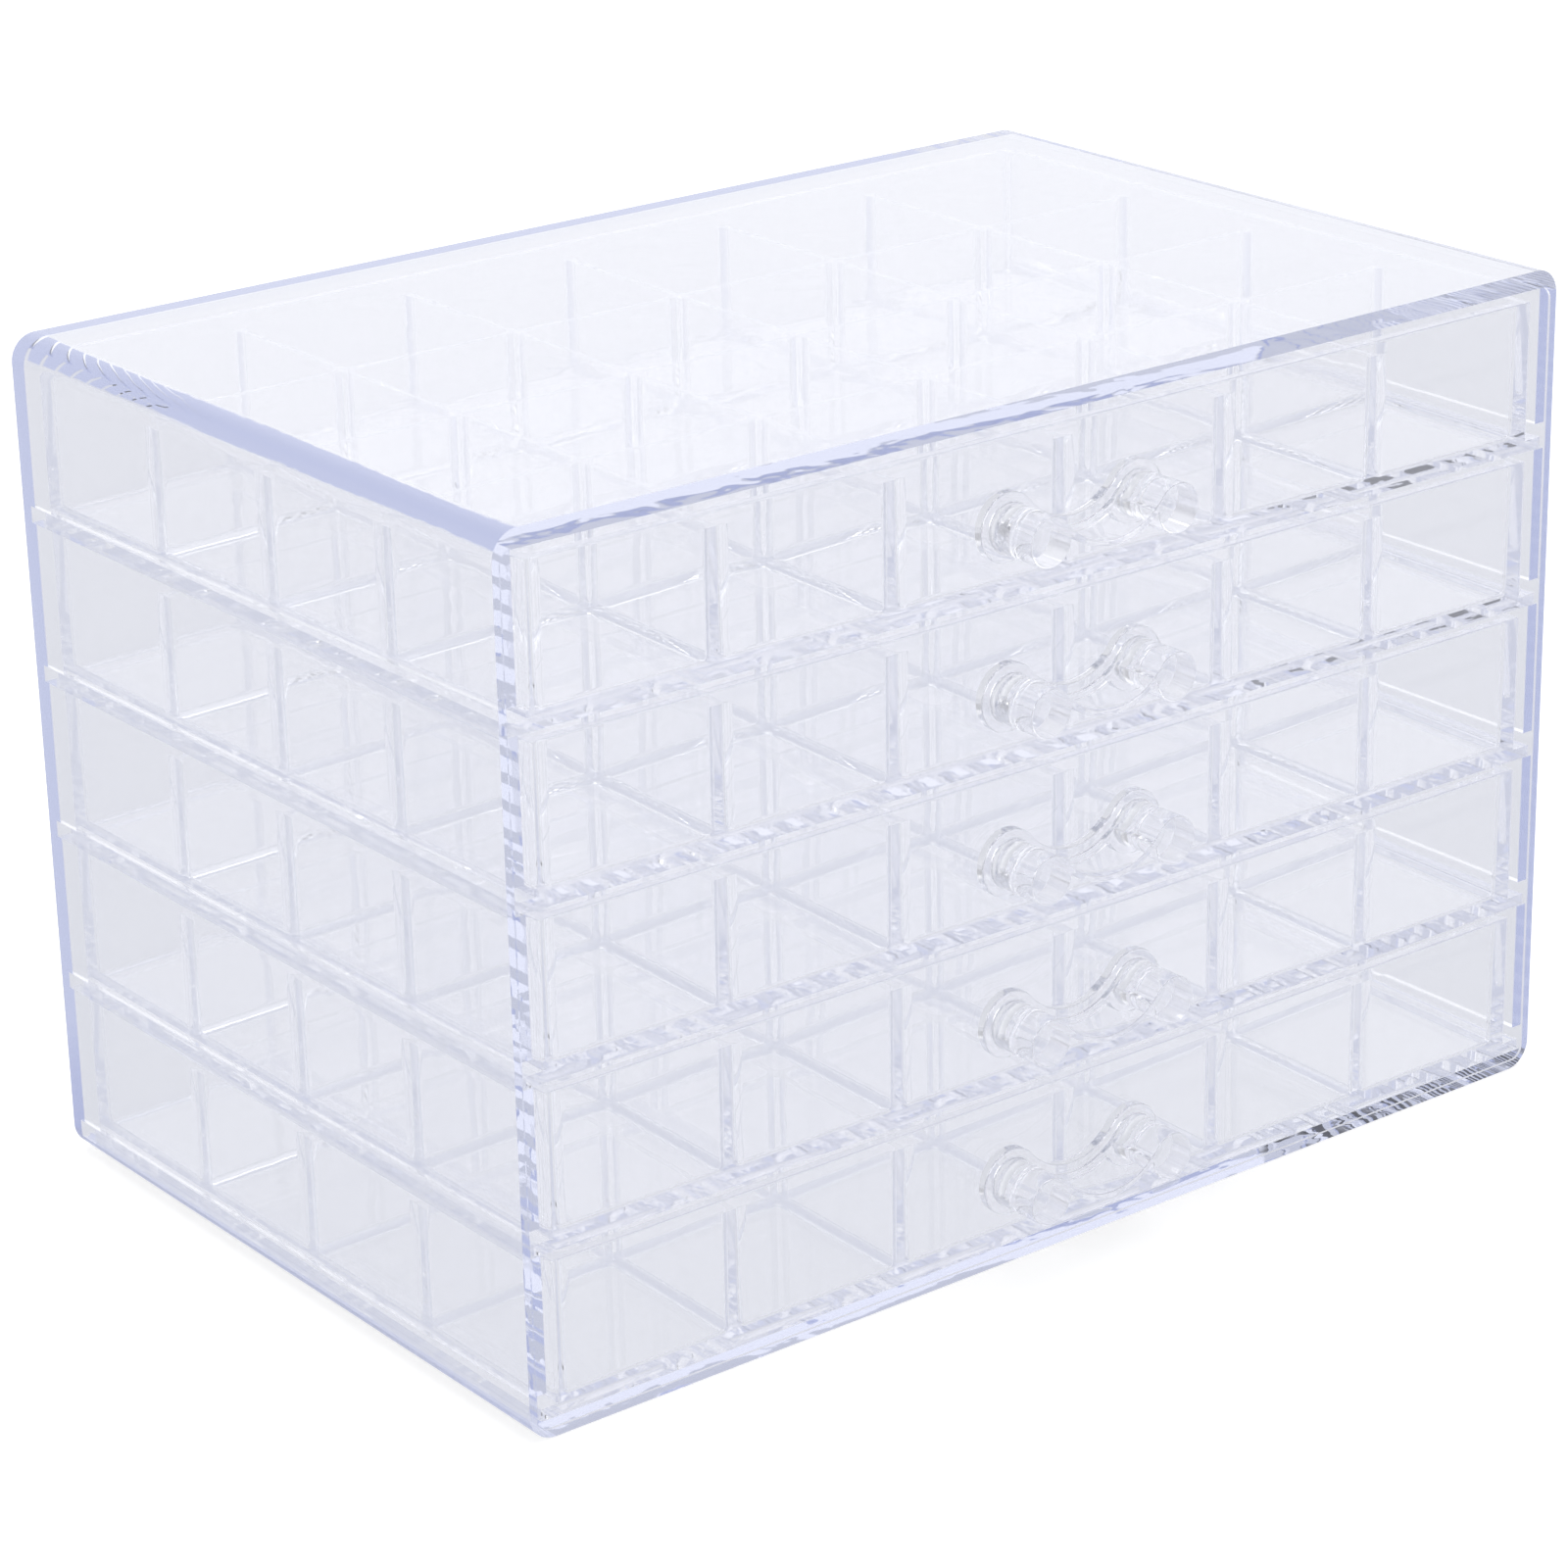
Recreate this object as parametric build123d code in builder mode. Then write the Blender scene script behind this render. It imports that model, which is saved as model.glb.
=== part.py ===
"""Clear countertop organizer: one moulded casing with a stack of divided drawers.

Millimetres, +Z up.  The origin is the centre of the casing's underside, the front is
towards -Y, and the drawers are numbered from the top.
"""

import os

from build123d import *

# Casing: one moulding, open at the front, with guide rails along both sides
CASE_WIDTH = 235.0
CASE_DEPTH = 150.0
CASE_CORNER = 5.0  # radius of the four edges that run front to back
CASE_TOP = 3.4
CASE_FLOOR = 3.25
CASE_BACK = 2.4
CASE_BACK_EDGE = 0.8  # radius round the rear face
SIDE_SHELL = 1.5  # skin left at the bottom of each groove
RAIL_THICKNESS = 2.3  # how far the rails stand in from the skin
RIM_SETBACK = 0.5  # rails and floor start this far behind the front rim
RIM_SILL = 1.6  # height of the rim under the opening
RIM_CORNER = 2.5  # corner radius of the opening in the rim

# Drawers: shallow trays, divided into a grid of cells
DRAWER_COUNT = 5
DRAWER_HEIGHT = 28.4
DRAWER_FLOOR = 2.2
DRAWER_SIDE = 2.0
DRAWER_FRONT = 2.0
DRAWER_BACK = 2.0
DRAWER_CORNER = 0.7  # radius of the upright outer edges
DRAWER_RIM_EDGE = 0.35  # radius round the top of the outer walls
CELL_COLUMNS = 6
CELL_ROWS = 4
DIVIDER_THICKNESS = 1.2  # at its top; the draft makes it thicker below
DIVIDER_DROP = 3.0  # the dividers stop this far below the drawer's rim
CELL_DRAFT = 0.75  # degrees
CELL_CORNER = 2.0
CELL_FLOOR_EDGE = 1.5  # radius between a cell's floor and its walls

# How the drawers sit in the casing
RUN_CLEARANCE = 0.15  # under the running edges
SIDE_CLEARANCE = 1.0  # beside the running edges
WALL_CLEARANCE = 2.1  # between the drawer's sides and the rails
STACK_CLEARANCE = 1.85  # between a drawer's rim and the drawer above it
HEADROOM = 2.3  # between the top drawer's rim and the casing's top
FRONT_RECESS = 0.4  # the drawer fronts stand behind the casing's rim
BACK_CLEARANCE = 1.2
EDGE_SETBACK = 2.1  # the running edges stop this far before the drawer's back
MOUTH_LIFT = 2.65  # free height over a running edge at the groove's mouth
END_LIFT = 0.75  # the same at its closed end

# Pulls: two solid knobs joined by a curved web, on a base that follows their outline
KNOB_RADIUS = 4.45
KNOB_SPACING = 28.4
KNOB_LENGTH = 12.5
KNOB_LEVEL = 13.0  # centre line over the drawer's underside
WEB_DIP = 2.4  # lowest line of the web's upper face, below the knobs' centre line
WEB_THICKNESS = 1.1
BASE_THICKNESS = 1.8
BASE_LIP = 1.8  # how far the base stands out round the knobs and the web

# Sizes that follow from the values above
DRAWER_PITCH = DRAWER_HEIGHT + STACK_CLEARANCE
LOWEST_DRAWER = CASE_FLOOR + RUN_CLEARANCE
CEILING = LOWEST_DRAWER + (DRAWER_COUNT - 1) * DRAWER_PITCH + DRAWER_HEIGHT + HEADROOM
CASE_HEIGHT = CEILING + CASE_TOP
CASE_FRONT = -CASE_DEPTH / 2
REAR_WALL = CASE_DEPTH / 2 - CASE_BACK
GROOVE_HALF = CASE_WIDTH / 2 - SIDE_SHELL
RAIL_HALF = GROOVE_HALF - RAIL_THICKNESS

EDGE_HALF = GROOVE_HALF - SIDE_CLEARANCE
BODY_HALF = RAIL_HALF - WALL_CLEARANCE
DRAWER_FACE = CASE_FRONT + FRONT_RECESS
DRAWER_REAR = REAR_WALL - BACK_CLEARANCE
DRAWER_DEPTH = DRAWER_REAR - DRAWER_FACE
INNER_WIDTH = 2 * (BODY_HALF - DRAWER_SIDE)
INNER_DEPTH = DRAWER_DEPTH - DRAWER_FRONT - DRAWER_BACK
INNER_CENTRE = (DRAWER_FACE + DRAWER_FRONT + DRAWER_REAR - DRAWER_BACK) / 2
COLUMN_PITCH = (INNER_WIDTH + DIVIDER_THICKNESS) / CELL_COLUMNS
ROW_PITCH = (INNER_DEPTH + DIVIDER_THICKNESS) / CELL_ROWS
CELL_DEPTH = DRAWER_HEIGHT - DRAWER_FLOOR - DIVIDER_DROP


def front_plane(y: float) -> Plane:
    """Upright plane at y that faces the front: its axes are X and Z."""
    return Plane.XZ.offset(-y)


def pull_outline(lip: float) -> Sketch:
    """Section of a pull about the middle of its knobs' centre line, grown by lip.

    The web is an arc whose upper face runs tangent into both knobs.
    """
    half = KNOB_SPACING / 2
    radius = (half**2 + WEB_DIP**2 - KNOB_RADIUS**2) / (2 * (KNOB_RADIUS + WEB_DIP))
    rise = radius - WEB_DIP
    knob = KNOB_RADIUS + lip
    span = radius + KNOB_RADIUS
    touch_x = half - knob * half / span
    touch_z = knob * rise / span
    with BuildSketch() as outline:
        with Locations((0, rise)):
            Circle(radius + WEB_THICKNESS + lip)
            Circle(radius - lip, mode=Mode.SUBTRACT)
        with Locations((0, touch_z)):
            Rectangle(2 * touch_x, 2 * span, align=(Align.CENTER, Align.MAX), mode=Mode.INTERSECT)
        with Locations((-half, 0), (half, 0)):
            Circle(knob)
    return outline.sketch


os.makedirs("parts", exist_ok=True)

# Casing
with BuildPart() as casing:
    with BuildSketch(front_plane(CASE_FRONT)):
        with Locations((0, CASE_HEIGHT / 2)):
            RectangleRounded(CASE_WIDTH, CASE_HEIGHT, CASE_CORNER)
    extrude(amount=-CASE_DEPTH)
    fillet(casing.faces().sort_by(Axis.Y)[-1].edges(), CASE_BACK_EDGE)

    # Space between the rails, closed by the rear wall
    with BuildSketch(front_plane(CASE_FRONT)):
        with Locations((0, CASE_FLOOR)):
            Rectangle(2 * RAIL_HALF, CEILING - CASE_FLOOR, align=(Align.CENTER, Align.MIN))
    extrude(amount=-(REAR_WALL - CASE_FRONT), mode=Mode.SUBTRACT)

    # The rails and the floor step back behind a thin rim
    with BuildSketch(front_plane(CASE_FRONT)):
        with Locations((0, (RIM_SILL + CEILING) / 2)):
            RectangleRounded(2 * GROOVE_HALF, CEILING - RIM_SILL, RIM_CORNER)
    extrude(amount=-RIM_SETBACK, mode=Mode.SUBTRACT)

    # One groove a side for each drawer: level below, and lower towards the back above
    for level in range(DRAWER_COUNT):
        ledge = CASE_FLOOR + level * DRAWER_PITCH
        edge_top = ledge + RUN_CLEARANCE + DRAWER_FLOOR
        with BuildSketch(Plane.YZ):
            with BuildLine():
                Polyline(
                    (CASE_FRONT + RIM_SETBACK, ledge),
                    (REAR_WALL, ledge),
                    (REAR_WALL, edge_top + END_LIFT),
                    (CASE_FRONT + RIM_SETBACK, edge_top + MOUTH_LIFT),
                    close=True,
                )
            make_face()
        extrude(amount=GROOVE_HALF, both=True, mode=Mode.SUBTRACT)

casing.part.label = "casing"
export_step(casing.part, "parts/casing.step")

# One cell of a drawer, as the space that it leaves: its top is at z = 0
with BuildPart() as cell:
    with BuildSketch():
        RectangleRounded(
            COLUMN_PITCH - DIVIDER_THICKNESS, ROW_PITCH - DIVIDER_THICKNESS, CELL_CORNER
        )
    extrude(amount=-CELL_DEPTH, taper=CELL_DRAFT)
    fillet(cell.faces().sort_by(Axis.Z)[0].edges(), CELL_FLOOR_EDGE)

# Drawers, from the top down
for number in range(1, DRAWER_COUNT + 1):
    underside = LOWEST_DRAWER + (DRAWER_COUNT - number) * DRAWER_PITCH
    rim = underside + DRAWER_HEIGHT

    with BuildPart() as tray:
        with BuildSketch(Plane.XY.offset(underside)):
            with Locations((0, DRAWER_FACE)):
                Rectangle(2 * BODY_HALF, DRAWER_DEPTH, align=(Align.CENTER, Align.MIN))
        extrude(amount=DRAWER_HEIGHT)
        fillet(tray.edges().filter_by(Axis.Z), DRAWER_CORNER)
        fillet(tray.faces().sort_by(Axis.Z)[-1].edges(), DRAWER_RIM_EDGE)

        # The floor reaches out past both sides as the running edges
        with BuildSketch(Plane.XY.offset(underside)):
            with Locations((0, DRAWER_FACE)):
                Rectangle(
                    2 * EDGE_HALF, DRAWER_DEPTH - EDGE_SETBACK, align=(Align.CENTER, Align.MIN)
                )
        extrude(amount=DRAWER_FLOOR)

        # Space over the dividers, then the cells between them
        with BuildSketch(Plane.XY.offset(rim)):
            with Locations((0, INNER_CENTRE)):
                RectangleRounded(INNER_WIDTH, INNER_DEPTH, CELL_CORNER)
        extrude(amount=-DIVIDER_DROP, mode=Mode.SUBTRACT)
        with Locations((0, INNER_CENTRE, rim - DIVIDER_DROP)):
            with GridLocations(COLUMN_PITCH, ROW_PITCH, CELL_COLUMNS, CELL_ROWS):
                add(cell.part, mode=Mode.SUBTRACT)

    tray.part.label = f"drawer_{number}_tray"
    export_step(tray.part, f"parts/{tray.part.label}.step")

    with BuildPart() as pull:
        face = front_plane(DRAWER_FACE).shift_origin((0, DRAWER_FACE, underside + KNOB_LEVEL))
        with BuildSketch(face):
            add(pull_outline(BASE_LIP))
        extrude(amount=BASE_THICKNESS)
        with BuildSketch(face):
            add(pull_outline(0))
        extrude(amount=KNOB_LENGTH)

    pull.part.label = f"drawer_{number}_pull"
    export_step(pull.part, f"parts/{pull.part.label}.step")
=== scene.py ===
"""Clear drawer organizer on a white table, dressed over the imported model.

Lengths are in metres, in the model's own frame: +Z up, the drawers open towards -Y.
Only the sizes of the pulls are in millimetres, as in the part's source.
"""

import logging
import math
from dataclasses import dataclass, field
from enum import Enum
from typing import Sequence

import bpy
import numpy as np
from mathutils import Matrix, Vector

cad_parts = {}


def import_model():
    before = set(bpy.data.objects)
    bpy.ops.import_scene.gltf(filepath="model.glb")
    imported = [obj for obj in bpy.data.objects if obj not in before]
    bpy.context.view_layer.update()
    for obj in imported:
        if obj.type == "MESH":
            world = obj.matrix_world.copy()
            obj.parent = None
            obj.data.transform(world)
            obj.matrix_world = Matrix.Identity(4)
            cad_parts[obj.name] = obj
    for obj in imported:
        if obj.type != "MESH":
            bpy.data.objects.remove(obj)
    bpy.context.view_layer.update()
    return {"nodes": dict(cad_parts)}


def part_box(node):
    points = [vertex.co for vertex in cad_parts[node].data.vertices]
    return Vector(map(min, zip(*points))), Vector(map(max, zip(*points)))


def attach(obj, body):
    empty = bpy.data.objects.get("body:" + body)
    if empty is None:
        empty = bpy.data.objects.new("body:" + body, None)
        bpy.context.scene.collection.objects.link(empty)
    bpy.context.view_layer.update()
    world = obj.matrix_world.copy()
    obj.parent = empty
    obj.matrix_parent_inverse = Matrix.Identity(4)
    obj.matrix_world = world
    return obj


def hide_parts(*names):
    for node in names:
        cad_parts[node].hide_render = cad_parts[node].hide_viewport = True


LOG = logging.getLogger("organizer")
MM = 0.001

# How many walls a ray is followed through. One that is still inside then takes a painted glow in place of
# the light it would bring out.
WALLS_CROSSED = 20
# The last surface that a ray reaches has a ray depth of WALLS_CROSSED + 1. This number tells it apart.
LAST_WALL_TEST = WALLS_CROSSED + 0.5

Triple = tuple[float, float, float]


# ---------------------------------------------------------------------------
# Shader helpers
# ---------------------------------------------------------------------------


class Blend(Enum):
    """What a Mix node blends: its data type, the numbers of its two inputs and the number of its result."""

    NUMBERS = ("FLOAT", 2, 3, 0)
    COLOURS = ("RGBA", 6, 7, 2)


class MixNode:
    """A Mix node with its sockets by name, because the node keeps a set of sockets for each data type."""

    def __init__(self, tree: bpy.types.NodeTree, blend: Blend) -> None:
        """Adds the node.

        Args:
            tree: the node tree that it goes into.
            blend: what it blends.
        """
        kind, first, second, result = blend.value
        node = tree.nodes.new("ShaderNodeMix")
        node.data_type = kind
        self.factor = node.inputs[0]
        self.first = node.inputs[first]
        self.second = node.inputs[second]
        self.result = node.outputs[result]


def link(tree: bpy.types.NodeTree, source: bpy.types.NodeSocket, target: bpy.types.NodeSocket) -> None:
    """Joins two sockets of a node tree."""
    tree.links.new(source, target)


def opaque(colour: Sequence[float]) -> tuple[float, float, float, float]:
    """The colour as a node socket holds it, with full alpha."""
    return (*colour, 1.0)


def emptied_tree(owner: bpy.types.Material | bpy.types.World) -> bpy.types.NodeTree:
    """Turns on the nodes of a material or a world and takes out the ones that it comes with.

    Args:
        owner: the material or the world.

    Returns:
        Its empty node tree.
    """
    owner.use_nodes = True
    owner.node_tree.nodes.clear()
    return owner.node_tree


def moulding_flow_group() -> bpy.types.NodeTree:
    """Height field of a polished moulding: long swells from cooling, with fine flow ripples on them.

    Formula: the swell noise, plus a small share of the ripple noise.

    Returns:
        The node group, with inputs Vector, Swell Scale and Ripple Scale and output Height.
    """
    ripple_share, ripple_swirl = 0.18, 0.6
    group = bpy.data.node_groups.new("moulding flow", "ShaderNodeTree")
    face = group.interface
    face.new_socket(name="Vector", in_out="INPUT", socket_type="NodeSocketVector")
    for name in ("Swell Scale", "Ripple Scale"):
        face.new_socket(name=name, in_out="INPUT", socket_type="NodeSocketFloat")
    face.new_socket(name="Height", in_out="OUTPUT", socket_type="NodeSocketFloat")
    inside = group.nodes.new("NodeGroupInput")
    out = group.nodes.new("NodeGroupOutput")
    swell = group.nodes.new("ShaderNodeTexNoise")
    swell.inputs["Detail"].default_value = 1.0
    ripple = group.nodes.new("ShaderNodeTexNoise")
    ripple.inputs["Detail"].default_value = 2.0
    ripple.inputs["Distortion"].default_value = ripple_swirl
    both = group.nodes.new("ShaderNodeMath")
    both.operation = "MULTIPLY_ADD"
    both.inputs[1].default_value = ripple_share
    link(group, inside.outputs["Vector"], swell.inputs["Vector"])
    link(group, inside.outputs["Vector"], ripple.inputs["Vector"])
    link(group, inside.outputs["Swell Scale"], swell.inputs["Scale"])
    link(group, inside.outputs["Ripple Scale"], ripple.inputs["Scale"])
    link(group, ripple.outputs["Fac"], both.inputs[0])
    link(group, swell.outputs["Fac"], both.inputs[2])
    link(group, both.outputs[0], out.inputs["Height"])
    return group


def handling_group() -> bpy.types.NodeTree:
    """Faint marks where the plastic has been handled: soft patches that raise the roughness a little.

    Formula: a noise, spread between two of its levels from the clean roughness to the marked one.

    Returns:
        The node group, with inputs Vector, Scale, Clean and Marked and output Roughness.
    """
    patch_edge, patch_middle = 0.52, 0.78
    group = bpy.data.node_groups.new("handling marks", "ShaderNodeTree")
    face = group.interface
    face.new_socket(name="Vector", in_out="INPUT", socket_type="NodeSocketVector")
    for name in ("Scale", "Clean", "Marked"):
        face.new_socket(name=name, in_out="INPUT", socket_type="NodeSocketFloat")
    face.new_socket(name="Roughness", in_out="OUTPUT", socket_type="NodeSocketFloat")
    inside = group.nodes.new("NodeGroupInput")
    out = group.nodes.new("NodeGroupOutput")
    patches = group.nodes.new("ShaderNodeTexNoise")
    patches.inputs["Detail"].default_value = 3.0
    spread = group.nodes.new("ShaderNodeMapRange")
    spread.inputs["From Min"].default_value = patch_edge
    spread.inputs["From Max"].default_value = patch_middle
    link(group, inside.outputs["Vector"], patches.inputs["Vector"])
    link(group, inside.outputs["Scale"], patches.inputs["Scale"])
    link(group, patches.outputs["Fac"], spread.inputs["Value"])
    link(group, inside.outputs["Clean"], spread.inputs["To Min"])
    link(group, inside.outputs["Marked"], spread.inputs["To Max"])
    link(group, spread.outputs["Result"], out.inputs["Roughness"])
    return group


@dataclass
class SharedEffects:
    """The shader groups that every clear plastic uses, built once.

    Attributes:
        flow: height field of a polished moulding.
        marks: faint handling marks.
    """

    flow: bpy.types.NodeTree = field(default_factory=moulding_flow_group)
    marks: bpy.types.NodeTree = field(default_factory=handling_group)


@dataclass(frozen=True)
class ClearPlastic:
    """Clear polished plastic: smooth refraction, and a blue-violet cast that grows with the path inside it.

    Attributes:
        name: material name.
        tint: colour that each wall lets through.
        ior: index of refraction.
        clean: roughness of the untouched surface.
        marked: roughness where it has been handled.
        mark_scale: size of the handling marks, as noise cycles per metre.
        cast: colour that a long way inside the plastic is tinted to.
        cast_density: strength of that tint, per metre.
        swell_scale: size of the long swells, as noise cycles per metre.
        ripple_scale: size of the fine ripples, in the same way.
        relief: depth of the relief, in metres.
        painted_haze_share: share of the light that one wall holds back from passing on; the same share of
            the haze colour below is painted on the wall as an emission glow, in place of scattered light.
        painted_haze_colour: colour of that painted haze glow.
        painted_trapped_glow: colour painted as an emission glow on a ray that is still inside after the last
            wall that is followed, in place of the light it would bring out.
        offset: where on the noise this moulding sits, so that no two look alike.
    """

    name: str
    tint: Triple = (0.992, 0.992, 0.994)
    ior: float = 1.56
    clean: float = 0.0
    marked: float = 0.03
    mark_scale: float = 30.0
    cast: Triple = (0.50, 0.55, 0.78)
    cast_density: float = 3.5
    swell_scale: float = 22.0
    ripple_scale: float = 55.0
    relief: float = 0.00016
    painted_haze_share: float = 0.0
    painted_haze_colour: Triple = (0.84, 0.85, 0.91)
    painted_trapped_glow: Triple = (0.36, 0.38, 0.46)
    offset: Triple = (0.0, 0.0, 0.0)

    def build(self, effects: SharedEffects) -> bpy.types.Material:
        """Makes the material.

        Args:
            effects: the shared shader groups.

        Returns:
            The new material.
        """
        material = bpy.data.materials.new(self.name)
        material.cycles.emission_sampling = "NONE"
        tree = emptied_tree(material)
        out = tree.nodes.new("ShaderNodeOutputMaterial")
        body = tree.nodes.new("ShaderNodeBsdfPrincipled")
        # The base colour gives up the share of the light that the painted haze glow puts back.
        body.inputs["Base Color"].default_value = opaque([c * (1.0 - self.painted_haze_share) for c in self.tint])
        body.inputs["Metallic"].default_value = 0.0
        body.inputs["IOR"].default_value = self.ior
        body.inputs["Transmission Weight"].default_value = 1.0
        # The emission paints a glow on the plastic, though it is no lamp.
        body.inputs["Emission Strength"].default_value = 1.0
        place = tree.nodes.new("ShaderNodeTexCoord")
        shift = tree.nodes.new("ShaderNodeMapping")
        shift.inputs["Location"].default_value = self.offset
        link(tree, place.outputs["Object"], shift.inputs["Vector"])
        on_noise = shift.outputs["Vector"]
        link(tree, self.relief_normal(tree, effects.flow, on_noise), body.inputs["Normal"])
        link(tree, self.marked_roughness(tree, effects.marks, on_noise), body.inputs["Roughness"])
        link(tree, self.glow(tree), body.inputs["Emission Color"])
        link(tree, body.outputs["BSDF"], out.inputs["Surface"])
        link(tree, self.inside(tree), out.inputs["Volume"])
        return material

    def relief_normal(
        self, tree: bpy.types.NodeTree, flow: bpy.types.NodeTree, place: bpy.types.NodeSocket
    ) -> bpy.types.NodeSocket:
        """Adds the moulding's slight unevenness.

        Args:
            tree: the material's node tree.
            flow: the moulding flow group.
            place: where each point of the surface lies on the noise.

        Returns:
            The socket with the uneven normal.
        """
        height = tree.nodes.new("ShaderNodeGroup")
        height.node_tree = flow
        height.inputs["Swell Scale"].default_value = self.swell_scale
        height.inputs["Ripple Scale"].default_value = self.ripple_scale
        bump = tree.nodes.new("ShaderNodeBump")
        bump.inputs["Strength"].default_value = 1.0
        bump.inputs["Distance"].default_value = self.relief
        link(tree, place, height.inputs["Vector"])
        link(tree, height.outputs["Height"], bump.inputs["Height"])
        return bump.outputs["Normal"]

    def marked_roughness(
        self, tree: bpy.types.NodeTree, marks: bpy.types.NodeTree, place: bpy.types.NodeSocket
    ) -> bpy.types.NodeSocket:
        """Adds the faint handling marks.

        Args:
            tree: the material's node tree.
            marks: the handling marks group.
            place: where each point of the surface lies on the noise.

        Returns:
            The socket with the roughness.
        """
        patches = tree.nodes.new("ShaderNodeGroup")
        patches.node_tree = marks
        patches.inputs["Scale"].default_value = self.mark_scale
        patches.inputs["Clean"].default_value = self.clean
        patches.inputs["Marked"].default_value = self.marked
        link(tree, place, patches.inputs["Vector"])
        return patches.outputs["Roughness"]

    def glow(self, tree: bpy.types.NodeTree) -> bpy.types.NodeSocket:
        """Adds the painted glow: an emission that stands in for light that the refraction alone would lose,
        as painted haze and as painted light still inside.

        A wall's painted haze is added where a ray goes in, so each wall counts once. The painted glow for
        the light still inside takes its place on a ray that has crossed as many walls as are followed.

        Args:
            tree: the material's node tree.

        Returns:
            The socket with the glow's colour.
        """
        side = tree.nodes.new("ShaderNodeNewGeometry")
        # Painted haze: an emission glow in the haze colour on front faces, where a ray goes in.
        haze = MixNode(tree, Blend.COLOURS)
        haze.first.default_value = opaque([self.painted_haze_share * c for c in self.painted_haze_colour])
        haze.second.default_value = opaque((0.0, 0.0, 0.0))
        rays = tree.nodes.new("ShaderNodeLightPath")
        late = tree.nodes.new("ShaderNodeMath")
        late.operation = "GREATER_THAN"
        late.inputs[1].default_value = LAST_WALL_TEST
        # Painted glow of the light still inside, on the last wall that is followed.
        light = MixNode(tree, Blend.COLOURS)
        light.second.default_value = opaque(self.painted_trapped_glow)
        link(tree, side.outputs["Backfacing"], haze.factor)
        link(tree, rays.outputs["Ray Depth"], late.inputs[0])
        link(tree, late.outputs[0], light.factor)
        link(tree, haze.result, light.first)
        return light.result

    def inside(self, tree: bpy.types.NodeTree) -> bpy.types.NodeSocket:
        """Adds the colour cast of the solid plastic.

        Args:
            tree: the material's node tree.

        Returns:
            The socket with the volume.
        """
        cast = tree.nodes.new("ShaderNodeVolumeAbsorption")
        cast.inputs["Color"].default_value = opaque(self.cast)
        cast.inputs["Density"].default_value = self.cast_density
        return cast.outputs["Volume"]


# ---------------------------------------------------------------------------
# Mesh helpers
# ---------------------------------------------------------------------------


def new_mesh_object(name: str, points: np.ndarray, faces: Sequence[Sequence[int]]) -> bpy.types.Object:
    """Puts points and faces into a mesh object at the origin, smooth shaded.

    Args:
        name: object name.
        points: N by 3 array, in metres.
        faces: vertex numbers of each face.

    Returns:
        The new object, linked into the scene.
    """
    mesh = bpy.data.meshes.new(name)
    mesh.from_pydata(points.tolist(), [], [list(f) for f in faces])
    mesh.polygons.foreach_set("use_smooth", np.ones(len(mesh.polygons), bool))
    mesh.update()
    piece = bpy.data.objects.new(name, mesh)
    bpy.context.scene.collection.objects.link(piece)
    return piece


def skin_loops(count: int, around: int) -> list[list[int]]:
    """Quads between closed loops stored one after the other, with one flat face on each end.

    Formula: point i of loop j has the number j * around + i, and each quad joins points i and i + 1 of
    one loop to those of the next.

    Args:
        count: number of loops.
        around: points in each loop.

    Returns:
        The faces, as vertex numbers.
    """
    row, col = np.meshgrid(np.arange(count - 1), np.arange(around), indexing="ij")
    here, above = row * around, (row + 1) * around
    following = (col + 1) % around
    quads = np.stack([here + col, here + following, above + following, above + col], axis=-1).reshape(-1, 4)
    first = np.arange(around)[::-1]
    last = np.arange(around) + (count - 1) * around
    return [*quads.tolist(), first.tolist(), last.tolist()]


def arc_points(
    centre: tuple[float, float], radius: float, start: float, stop: float, count: int
) -> np.ndarray:
    """Points of a circle's arc, without the last one.

    Formula: centre + radius * (cos a, sin a), with a evenly spaced from start to stop.

    Args:
        centre: the circle's centre.
        radius: its radius.
        start: first angle, in radians.
        stop: last angle, left out.
        count: number of points.

    Returns:
        A count by 2 array.
    """
    angle = np.linspace(start, stop, count, endpoint=False)
    return np.stack([centre[0] + radius * np.cos(angle), centre[1] + radius * np.sin(angle)], axis=1)


def dress(piece: bpy.types.Object, material: bpy.types.Material) -> None:
    """Gives every slot of a piece the same material.

    Args:
        piece: the piece.
        material: its material.
    """
    if not piece.material_slots:
        piece.data.materials.append(material)
    for slot in piece.material_slots:
        slot.material = material


# ---------------------------------------------------------------------------
# The organizer's pieces
# ---------------------------------------------------------------------------


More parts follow.
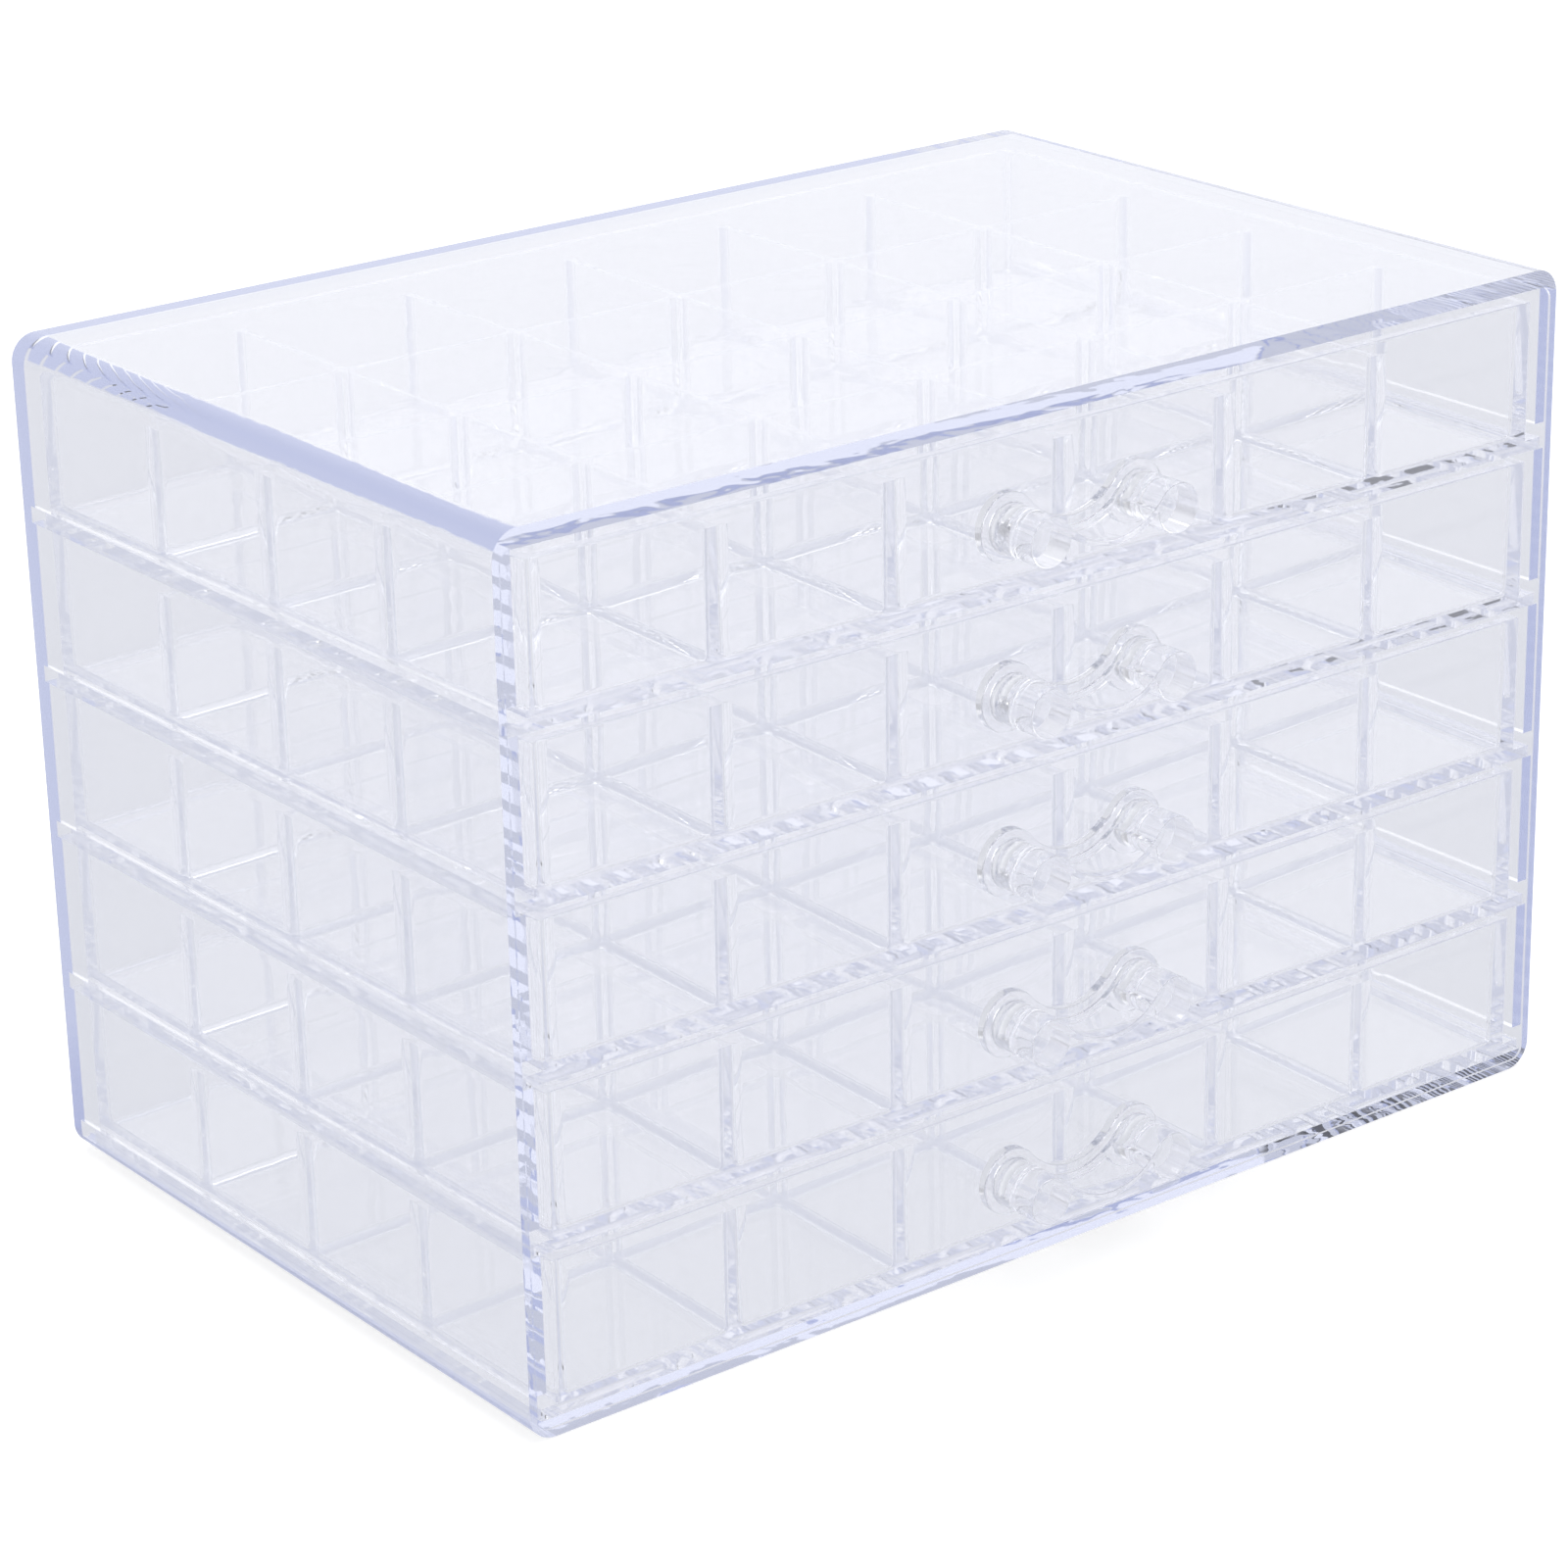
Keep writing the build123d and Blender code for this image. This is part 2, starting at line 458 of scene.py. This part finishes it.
@dataclass
class Pull:
    """Two solid knobs joined by a curved web, on a base that follows their outline. Sizes in millimetres.

    Attributes:
        knob_radius: radius of a knob.
        spacing: distance between the knobs' centre lines.
        length: reach of the knobs from the drawer's face.
        level: height of the centre lines over the drawer's underside.
        web_dip: lowest line of the web's upper face, below the centre lines.
        web_thickness: thickness of the web.
        base_thickness: thickness of the base.
        base_lip: how far the base stands out round the knobs and the web.
        bond_gap: thickness of the bond between the base and the drawer.
        back_edge: bevel round the back of the base.
        end_edge: radius round the end of the knobs.
        base_edge: radius round the front of the base.
        foot_fillet: radius between the base and the knobs.
        knob_steps: points round each knob.
        web_steps: points along each face of the web.
    """

    knob_radius: float = 4.45
    spacing: float = 28.4
    length: float = 12.5
    level: float = 13.0
    web_dip: float = 2.4
    web_thickness: float = 1.1
    base_thickness: float = 1.8
    base_lip: float = 1.8
    bond_gap: float = 0.04
    back_edge: float = 0.1
    end_edge: float = 0.22
    base_edge: float = 0.35
    foot_fillet: float = 0.45
    knob_steps: int = 84
    web_steps: int = 44

    def outline(self, lip: float) -> np.ndarray:
        """Closed outline of the section, grown by lip.

        Formula: a nearly full circle round each knob, an arc under the web that meets both circles,
        and a smaller arc over it that runs tangent into both.

        Args:
            lip: growth, in millimetres; below zero it shrinks.

        Returns:
            Points by 2, as x and z about the middle of the knobs' centre line.
        """
        half = self.spacing / 2
        across = 2 * (self.knob_radius + self.web_dip)
        radius = (half**2 + self.web_dip**2 - self.knob_radius**2) / across
        rise = radius - self.web_dip
        span = radius + self.knob_radius
        knob, over, under = self.knob_radius + lip, radius - lip, radius + self.web_thickness + lip
        tangent = math.atan2(rise, half)
        along = (knob**2 - under**2 + span**2) / (2 * span)
        aside = math.sqrt(max(knob**2 - along**2, 0.0))
        meet = tangent - math.atan2(aside, along)
        meet_x, meet_z = knob * math.cos(meet) - half, knob * math.sin(meet)
        sweep = math.atan2(meet_z - rise, meet_x)
        left = arc_points((-half, 0.0), knob, tangent, meet + 2 * math.pi, self.knob_steps)
        below = arc_points((0.0, rise), under, sweep, -math.pi - sweep, self.web_steps)
        right = arc_points((half, 0.0), knob, math.pi - meet, 3 * math.pi - tangent, self.knob_steps)
        above = arc_points((0.0, rise), over, -tangent, tangent - math.pi, self.web_steps)
        return np.concatenate([left, below, right, above])

    def rows(self) -> list[tuple[float, float]]:
        """Profile of the pull, from the back of its base to the end of the knobs.

        Returns:
            For each loop, its distance from the drawer's face and the growth of its outline.
        """
        lip, edge, foot, end = self.base_lip, self.base_edge, self.foot_fillet, self.end_edge
        turn = np.radians([0.0, 22.5, 45.0, 67.5, 90.0])
        back = [(self.bond_gap, lip - self.back_edge), (self.bond_gap + self.back_edge, lip)]
        shoulder = [
            (self.base_thickness - edge + edge * math.sin(a), lip - edge + edge * math.cos(a)) for a in turn
        ]
        fillet = [(self.base_thickness + foot - foot * math.cos(a), foot - foot * math.sin(a)) for a in turn]
        tip = [(self.length - end + end * math.sin(a), end * math.cos(a) - end) for a in turn]
        return back + shoulder + fillet + tip

    def surface(self, middle: Triple) -> np.ndarray:
        """The pull's surface as loops, one for each row of its profile.

        Formula: each row's outline, standing upright that row's distance in front of the middle.

        Args:
            middle: middle of the knobs' centre line on the drawer's face, in metres.

        Returns:
            Loops by points by 3, in metres.
        """
        middle_x, face_y, middle_z = middle
        loops = []
        for out, lip in self.rows():
            section = self.outline(lip) * MM
            depth = np.full(len(section), face_y - out * MM)
            loops.append(np.stack([section[:, 0] + middle_x, depth, section[:, 1] + middle_z], axis=1))
        return np.stack(loops)

    def build(self, name: str, node: str, tray_node: str) -> bpy.types.Object:
        """Makes the pull in place of its solid.

        Args:
            name: object name.
            node: the model's node that it stands for.
            tray_node: the tray that carries it.

        Returns:
            The new piece.
        """
        low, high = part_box(node)
        tray_low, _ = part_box(tray_node)
        loops = self.surface(((low.x + high.x) / 2, high.y, tray_low.z + self.level * MM))
        count, around, _ = loops.shape
        piece = new_mesh_object(name, loops.reshape(-1, 3), skin_loops(count, around))
        weighted = piece.modifiers.new("flat faces stay flat", "WEIGHTED_NORMAL")
        weighted.keep_sharp = True
        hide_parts(node)
        return piece


@dataclass
class Casing:
    """The outer shell with its rails.

    Attributes:
        node: the model's node.
        finish: its plastic.
    """

    node: str = "casing"
    # The last two values are the shell's painted glow: the colour of the light still inside, and the haze on
    # each wall.
    finish: ClearPlastic = ClearPlastic(name="casing plastic", painted_trapped_glow=(0.60, 0.64, 0.83), painted_haze_share=0.03)

    def build(self, nodes: dict[str, bpy.types.Object], effects: SharedEffects) -> None:
        """Dresses the shell."""
        dress(nodes[self.node], self.finish.build(effects))
        LOG.info("casing dressed")


@dataclass
class Drawer:
    """One divided tray with its pull.

    Attributes:
        number: place in the stack, from the top.
        pull: the pull on its front.
        noise_step: how far each drawer's plastic lies from the last one's on the noise.
    """

    number: int
    pull: Pull = field(default_factory=Pull)
    noise_step: Triple = (0.37, 0.21, 0.53)

    @property
    def body(self) -> str:
        """Name of the body that the drawer moves with."""
        return f"drawer_{self.number}"

    @property
    def noise_place(self) -> Triple:
        """Where on the noise the drawer's plastic sits."""
        return tuple(step * self.number for step in self.noise_step)

    def tray_plastic(self) -> ClearPlastic:
        """The tray's finish: paler inside than the casing, with a lighter cast and a paler painted glow for
        the light still inside, and more painted haze glow.
        """
        return ClearPlastic(
            name=f"drawer {self.number} plastic",
            offset=self.noise_place,
            cast_density=1.5,
            # The next two values are the tray's painted glow: haze on each wall, and the colour of the light
            # still inside.
            painted_haze_share=0.13,
            painted_trapped_glow=(0.58, 0.60, 0.70),
            relief=0.0001,
        )

    def pull_plastic(self) -> ClearPlastic:
        """The pull's finish: no painted haze glow, with the finest relief."""
        return ClearPlastic(
            name=f"pull {self.number} plastic",
            offset=self.noise_place,
            cast_density=2.0,
            relief=0.00006,
            ripple_scale=120.0,
        )

    def build(self, nodes: dict[str, bpy.types.Object], effects: SharedEffects) -> None:
        """Dresses the tray and makes its pull.

        Args:
            nodes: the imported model's nodes.
            effects: the shared shader groups.
        """
        tray_node, pull_node = f"{self.body}_tray", f"{self.body}_pull"
        dress(nodes[tray_node], self.tray_plastic().build(effects))
        LOG.info("%s dressed", tray_node)
        piece = self.pull.build(f"{self.body}_pull_moulding", pull_node, tray_node)
        dress(piece, self.pull_plastic().build(effects))
        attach(piece, self.body)
        LOG.info("%s built, with %d faces", piece.name, len(piece.data.polygons))


# ---------------------------------------------------------------------------
# Studio
# ---------------------------------------------------------------------------


@dataclass(frozen=True)
class SoftPanel:
    """A round soft panel in the room, as seen from the object.

    Attributes:
        direction: where it is.
        reach: its half angle, in degrees.
        softness: width of its soft edge, in degrees.
        level: its brightness, where 1 is white.
    """

    direction: Triple
    reach: float
    softness: float
    level: float


@dataclass(frozen=True)
class SoftLamp:
    """A rectangular soft lamp that faces the object.

    Attributes:
        name: lamp name.
        place: its position.
        size: its width and height.
        power: its power, in watts.
    """

    name: str
    place: Triple
    size: tuple[float, float]
    power: float

    def build(self, aim: Vector) -> None:
        """Adds the lamp.

        Args:
            aim: the point that it faces.
        """
        data = bpy.data.lights.new(self.name, "AREA")
        data.shape = "RECTANGLE"
        data.size, data.size_y = self.size
        data.energy = self.power
        lamp = bpy.data.objects.new(self.name, data)
        lamp.location = self.place
        lamp.rotation_euler = (aim - Vector(self.place)).to_track_quat("-Z", "Y").to_euler()
        bpy.context.scene.collection.objects.link(lamp)


@dataclass
class WhiteTable:
    """The white table under the organizer.

    Attributes:
        size: length of its sides.
        drop: how far its top lies below the organizer, so that the two never share a plane.
        shade: how much of the lamps' light it returns, which shows the shadow.
        own_light: brightness that it has without the lamps.
        roughness: roughness of its top.
        near: its colour through the plastic, close to the organizer, a painted shadow.
        far: the same painted shadow, further out and lighter.
        near_reach: distance from the middle up to which it has the near colour.
        far_reach: distance from which it has the far one.
    """

    size: float = 6.0
    drop: float = 0.0002
    shade: float = 0.62
    own_light: float = 0.66
    roughness: float = 0.9
    # Painted shadow: the table seen through or mirrored in the plastic is a grey emission, darker near the
    # organizer.
    near: Triple = (0.72, 0.735, 0.79)
    far: Triple = (0.80, 0.81, 0.86)
    near_reach: float = 0.10
    far_reach: float = 0.9

    def lit(self, tree: bpy.types.NodeTree) -> bpy.types.NodeSocket:
        """Adds the table as the camera sees it: white, with a soft shadow.

        Args:
            tree: the material's node tree.

        Returns:
            The socket with the surface.
        """
        lit = tree.nodes.new("ShaderNodeBsdfPrincipled")
        lit.inputs["Base Color"].default_value = opaque([self.shade] * 3)
        lit.inputs["Roughness"].default_value = self.roughness
        lit.inputs["Specular IOR Level"].default_value = 0.0
        lit.inputs["Emission Color"].default_value = opaque((1.0, 1.0, 1.0))
        lit.inputs["Emission Strength"].default_value = self.own_light
        return lit.outputs["BSDF"]

    def painted_shadow_through_plastic(self, tree: bpy.types.NodeTree) -> bpy.types.NodeSocket:
        """Adds the table as the plastic shows and mirrors it, as an emission with a painted shadow: pale
        grey, darker close to the organizer and lighter further out.

        Args:
            tree: the material's node tree.

        Returns:
            The socket with the surface.
        """
        place = tree.nodes.new("ShaderNodeTexCoord")
        distance = tree.nodes.new("ShaderNodeVectorMath")
        distance.operation = "LENGTH"
        # Painted shadow that grows lighter with the distance from the middle.
        painted_shadow_fade = tree.nodes.new("ShaderNodeValToRGB")
        ends = zip(painted_shadow_fade.color_ramp.elements, (self.near_reach, self.far_reach), (self.near, self.far))
        for element, reach, colour in ends:
            element.position = reach
            element.color = opaque(colour)
        through = tree.nodes.new("ShaderNodeEmission")
        through.inputs["Strength"].default_value = 1.0
        link(tree, place.outputs["Object"], distance.inputs[0])
        link(tree, distance.outputs["Value"], painted_shadow_fade.inputs["Fac"])
        link(tree, painted_shadow_fade.outputs["Color"], through.inputs["Color"])
        return through.outputs["Emission"]

    def material(self) -> bpy.types.Material:
        """Makes the table's material, which picks one of its two looks by the kind of ray.

        Returns:
            The new material.
        """
        material = bpy.data.materials.new("white table")
        tree = emptied_tree(material)
        out = tree.nodes.new("ShaderNodeOutputMaterial")
        rays = tree.nodes.new("ShaderNodeLightPath")
        either = tree.nodes.new("ShaderNodeMath")
        either.operation = "MAXIMUM"
        pick = tree.nodes.new("ShaderNodeMixShader")
        link(tree, rays.outputs["Is Transmission Ray"], either.inputs[0])
        link(tree, rays.outputs["Is Glossy Ray"], either.inputs[1])
        link(tree, either.outputs[0], pick.inputs["Fac"])
        link(tree, self.lit(tree), pick.inputs[1])
        link(tree, self.painted_shadow_through_plastic(tree), pick.inputs[2])
        link(tree, pick.outputs["Shader"], out.inputs["Surface"])
        return material

    def build(self) -> None:
        """Makes the table's top."""
        half = self.size / 2
        sides = np.array([(-half, -half), (half, -half), (half, half), (-half, half)])
        points = np.column_stack([sides, np.full(len(sides), -self.drop)])
        table = new_mesh_object("floor", points, [(0, 1, 2, 3)])
        dress(table, self.material())


@dataclass
class Room:
    """The dim room round the table, with soft panels that the plastic mirrors. The camera sees white.

    Attributes:
        colour: colour of its light.
        level: brightness between the panels.
        panels: the panels.
    """

    colour: Triple = (0.97, 0.98, 1.03)
    level: float = 0.06
    panels: tuple[SoftPanel, ...] = (
        SoftPanel(direction=(0.0, -1.0, 0.3), reach=62.0, softness=30.0, level=0.52),
        SoftPanel(direction=(0.3, 0.95, 0.1), reach=52.0, softness=12.0, level=0.97),
        SoftPanel(direction=(0.53, 0.69, 0.34), reach=16.0, softness=22.0, level=1.12),
        SoftPanel(direction=(0.15, 0.1, 1.0), reach=24.0, softness=5.0, level=1.2),
        SoftPanel(direction=(-0.95, -0.25, 0.35), reach=14.0, softness=4.0, level=1.2),
        SoftPanel(direction=(0.75, -0.75, 0.6), reach=12.0, softness=4.0, level=1.1),
    )

    def brightness(self, tree: bpy.types.NodeTree) -> bpy.types.NodeSocket:
        """Adds the room's brightness by direction.

        Formula: it starts at the room's level, and each panel in turn is laid over it. A panel's share is
        a smooth step of the cosine between the direction and the panel's, from 0 at the outside of its
        soft edge to 1 at the inside.

        Args:
            tree: the world's node tree.

        Returns:
            The socket with the brightness.
        """
        place = tree.nodes.new("ShaderNodeTexCoord")
        below = None
        for panel in self.panels:
            facing = tree.nodes.new("ShaderNodeVectorMath")
            facing.operation = "DOT_PRODUCT"
            facing.inputs[1].default_value = Vector(panel.direction).normalized()
            mask = tree.nodes.new("ShaderNodeMapRange")
            mask.interpolation_type = "SMOOTHSTEP"
            mask.inputs["From Min"].default_value = math.cos(math.radians(panel.reach + panel.softness))
            mask.inputs["From Max"].default_value = math.cos(math.radians(panel.reach))
            laid = MixNode(tree, Blend.NUMBERS)
            laid.first.default_value = self.level
            laid.second.default_value = panel.level
            link(tree, place.outputs["Generated"], facing.inputs[0])
            link(tree, facing.outputs["Value"], mask.inputs["Value"])
            link(tree, mask.outputs["Result"], laid.factor)
            if below is not None:
                link(tree, below, laid.first)
            below = laid.result
        return below

    def build(self) -> None:
        """Makes the world: white to the camera, and the room to every other ray."""
        world = bpy.data.worlds.new("studio")
        bpy.context.scene.world = world
        tree = emptied_tree(world)
        out = tree.nodes.new("ShaderNodeOutputWorld")
        seen = tree.nodes.new("ShaderNodeBackground")
        seen.inputs["Color"].default_value = opaque((1.0, 1.0, 1.0))
        around = tree.nodes.new("ShaderNodeBackground")
        around.inputs["Color"].default_value = opaque(self.colour)
        rays = tree.nodes.new("ShaderNodeLightPath")
        pick = tree.nodes.new("ShaderNodeMixShader")
        link(tree, self.brightness(tree), around.inputs["Strength"])
        link(tree, rays.outputs["Is Camera Ray"], pick.inputs["Fac"])
        link(tree, around.outputs["Background"], pick.inputs[1])
        link(tree, seen.outputs["Background"], pick.inputs[2])
        link(tree, pick.outputs["Shader"], out.inputs["Surface"])


@dataclass
class PhotoCamera:
    """The camera at the photographed angle.

    Attributes:
        azimuth: turn of the view about the vertical, in degrees, where 0 looks along +Y.
        elevation: its height over the horizon, in degrees.
        roll: turn of the picture about the line of sight, in degrees.
        distance: distance from the target.
        focal_share: focal length as a share of the picture's width.
        target: the point in the middle of the picture.
        sensor: sensor width, in millimetres.
        nearest: nearest distance that it sees.
        farthest: farthest distance that it sees.
    """

    azimuth: float = -37.44
    elevation: float = 21.12
    roll: float = -1.27
    distance: float = 0.8644
    focal_share: float = 4839.0 / 1600.0
    target: Triple = (-0.0132, -0.0115, 0.0723)
    sensor: float = 36.0
    nearest: float = 0.05
    farthest: float = 50.0

    def back(self) -> Vector:
        """Works out which way the camera lies.

        Returns:
            The direction from the target to the camera.
        """
        azimuth, elevation = math.radians(self.azimuth), math.radians(self.elevation)
        level = math.cos(elevation)
        return Vector((math.sin(azimuth) * level, -math.cos(azimuth) * level, math.sin(elevation)))

    def build(self) -> None:
        """Makes the camera, turned about its own axis by the photograph's slight roll."""
        back, roll = self.back(), math.radians(self.roll)
        right = (-back).cross(Vector((0, 0, 1))).normalized()
        above = right.cross(-back)
        turned_right = right * math.cos(roll) + above * math.sin(roll)
        turned_above = above * math.cos(roll) - right * math.sin(roll)
        data = bpy.data.cameras.new("camera")
        data.sensor_width = self.sensor
        data.lens = self.sensor * self.focal_share
        data.clip_start, data.clip_end = self.nearest, self.farthest
        camera = bpy.data.objects.new("camera", data)
        bpy.context.scene.collection.objects.link(camera)
        axes = Matrix((turned_right, turned_above, back)).transposed().to_4x4()
        camera.matrix_world = Matrix.Translation(Vector(self.target) + back * self.distance) @ axes
        bpy.context.scene.camera = camera


@dataclass
class Studio:
    """Everything round the organizer: room, table, soft lamps and camera.

    Attributes:
        room: the room.
        table: the table.
        lamps: the lamps.
        aim: the point that the lamps face.
        camera: the camera.
    """

    room: Room = field(default_factory=Room)
    table: WhiteTable = field(default_factory=WhiteTable)
    lamps: tuple[SoftLamp, ...] = (
        SoftLamp(name="overhead softbox", place=(0.2, 0.3, 1.3), size=(1.2, 1.0), power=6.0),
        SoftLamp(name="left strip", place=(-1.2, -0.5, 0.7), size=(0.5, 1.0), power=5.0),
    )
    aim: Triple = (0.0, 0.0, 0.08)
    camera: PhotoCamera = field(default_factory=PhotoCamera)

    def build(self) -> None:
        """Makes the whole studio, and sets how far light is followed."""
        scene = bpy.context.scene
        scene.view_settings.view_transform = "Standard"
        scene.cycles.max_bounces = WALLS_CROSSED
        scene.cycles.transmission_bounces = WALLS_CROSSED
        scene.cycles.glossy_bounces = WALLS_CROSSED
        scene.cycles.diffuse_bounces = 1
        self.room.build()
        self.table.build()
        for lamp in self.lamps:
            lamp.build(Vector(self.aim))
        self.camera.build()
        LOG.info("studio built")


# ---------------------------------------------------------------------------
# The whole scene
# ---------------------------------------------------------------------------


def drawer_count(nodes: dict[str, bpy.types.Object]) -> int:
    """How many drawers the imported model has."""
    return sum(name.endswith("_tray") for name in nodes)


def main() -> None:
    """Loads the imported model, dresses it and sets up the studio."""
    logging.basicConfig(level=logging.INFO, format="%(name)s: %(message)s")
    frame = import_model()
    nodes = frame["nodes"]
    effects = SharedEffects()
    Casing().build(nodes, effects)
    for number in range(1, drawer_count(nodes) + 1):
        Drawer(number).build(nodes, effects)
    Studio().build()


if __name__ == "__main__":
    main()
